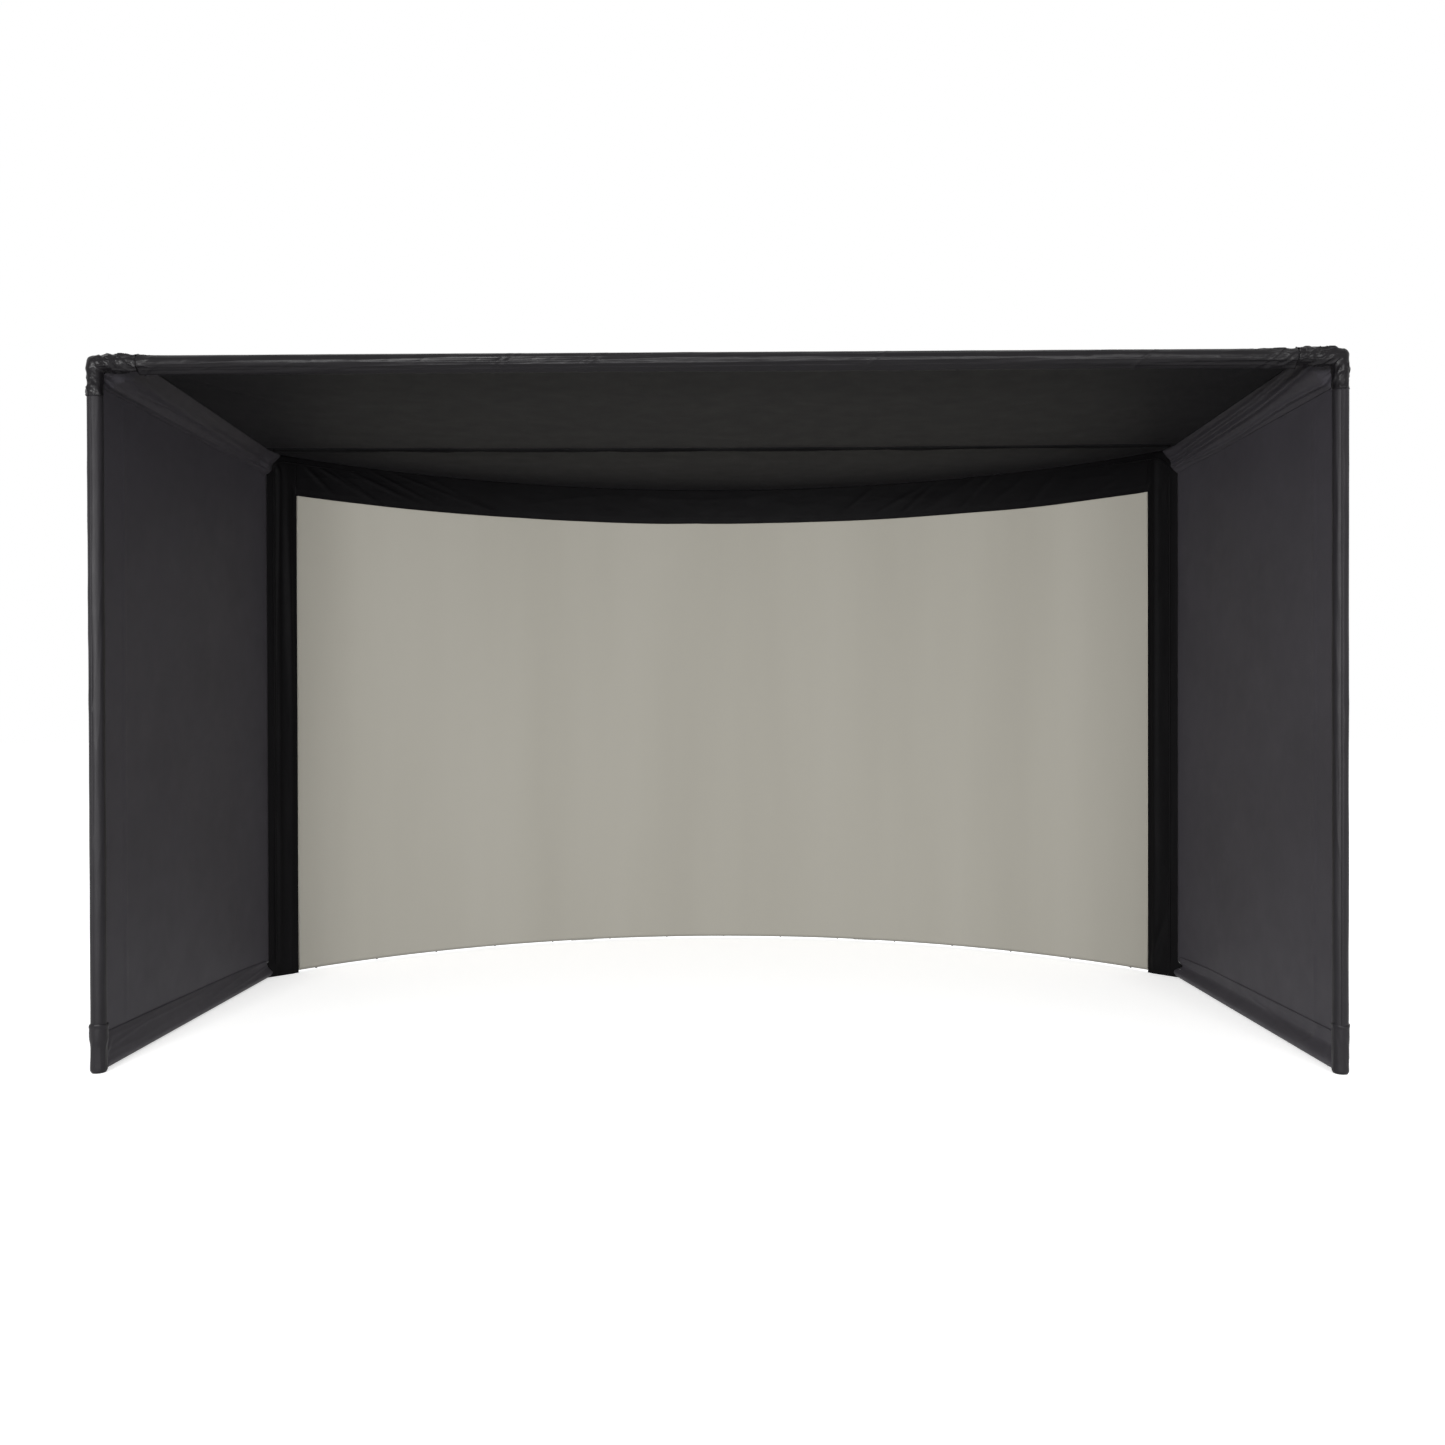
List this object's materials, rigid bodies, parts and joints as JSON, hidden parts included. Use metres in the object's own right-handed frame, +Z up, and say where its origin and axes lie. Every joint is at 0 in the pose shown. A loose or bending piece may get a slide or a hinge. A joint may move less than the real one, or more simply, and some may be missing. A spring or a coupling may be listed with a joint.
{
  "type": "golf practice net",
  "caption": "Walk-in golf practice enclosure: black cloth over a pipe frame, with a bowed back and a laced grey impact screen.",
  "frame": {"origin": "centre of the bounding box's footprint, on the floor", "axes": "+X to the right for a player who faces the screen, +Y from the open front to the screen, +Z up"},
  "size_m": [4.265, 2.5336, 2.4417],
  "materials": {
    "pipe": "galvanised, satin",
    "fittings": "zinc plated, cast",
    "set_screws": "black oxide",
    "foam": "closed-cell foam, matte",
    "cover_cloth": "coated nylon, soft sheen",
    "screen_cloth": "heavy knitted screen, matte",
    "webbing": "woven webbing",
    "hook_and_loop": "hook and loop tape",
    "grommets": "nickel plated",
    "bungee_cord": "braided elastic cord",
    "bungee_ball": "moulded ball"
  },
  "bodies": {
    "root": {"front_top_pipe_left": "pipe", "front_top_pipe_right": "pipe", "front_top_coupling": "fittings", "front_left_post": "pipe", "front_right_post": "pipe", "left_top_side_pipe": "pipe", "right_top_side_pipe": "pipe", "left_bottom_side_pipe": "pipe", "right_bottom_side_pipe": "pipe", "rear_left_post": "pipe", "rear_right_post": "pipe", "rear_top_bow_left": "pipe", "rear_top_bow_middle": "pipe", "rear_top_bow_right": "pipe", "rear_bottom_bow_left": "pipe", "rear_bottom_bow_middle": "pipe", "rear_bottom_bow_right": "pipe", "bow_couplings": "fittings", "front_top_left_corner": "fittings", "front_top_right_corner": "fittings", "front_bottom_left_corner": "fittings", "front_bottom_right_corner": "fittings", "rear_top_left_corner": "fittings", "rear_top_right_corner": "fittings", "rear_bottom_left_corner": "fittings", "rear_bottom_right_corner": "fittings", "set_screws": "set_screws", "front_top_foam": "foam", "left_post_foam": "foam", "right_post_foam": "foam", "roof_panel": "cover_cloth", "roof_crescent": "cover_cloth", "rear_top_hem": "cover_cloth", "left_wall": "cover_cloth", "right_wall": "cover_cloth", "left_top_pocket": "cover_cloth", "right_top_pocket": "cover_cloth", "left_bottom_pocket": "cover_cloth", "right_bottom_pocket": "cover_cloth", "front_top_sleeve": "cover_cloth", "left_post_sleeve": "cover_cloth", "right_post_sleeve": "cover_cloth", "left_corner_hood": "cover_cloth", "right_corner_hood": "cover_cloth", "left_foot_cuff": "cover_cloth", "right_foot_cuff": "cover_cloth", "top_border": "cover_cloth", "left_border": "cover_cloth", "right_border": "cover_cloth", "impact_screen": "screen_cloth", "screen_webbing": "webbing", "screen_bottom_strap": "webbing", "hook_and_loop_tape": "hook_and_loop", "screen_grommets": "grommets", "bungee_cords": "bungee_cord", "bungee_balls": "bungee_ball"}
  },
  "joints": []
}
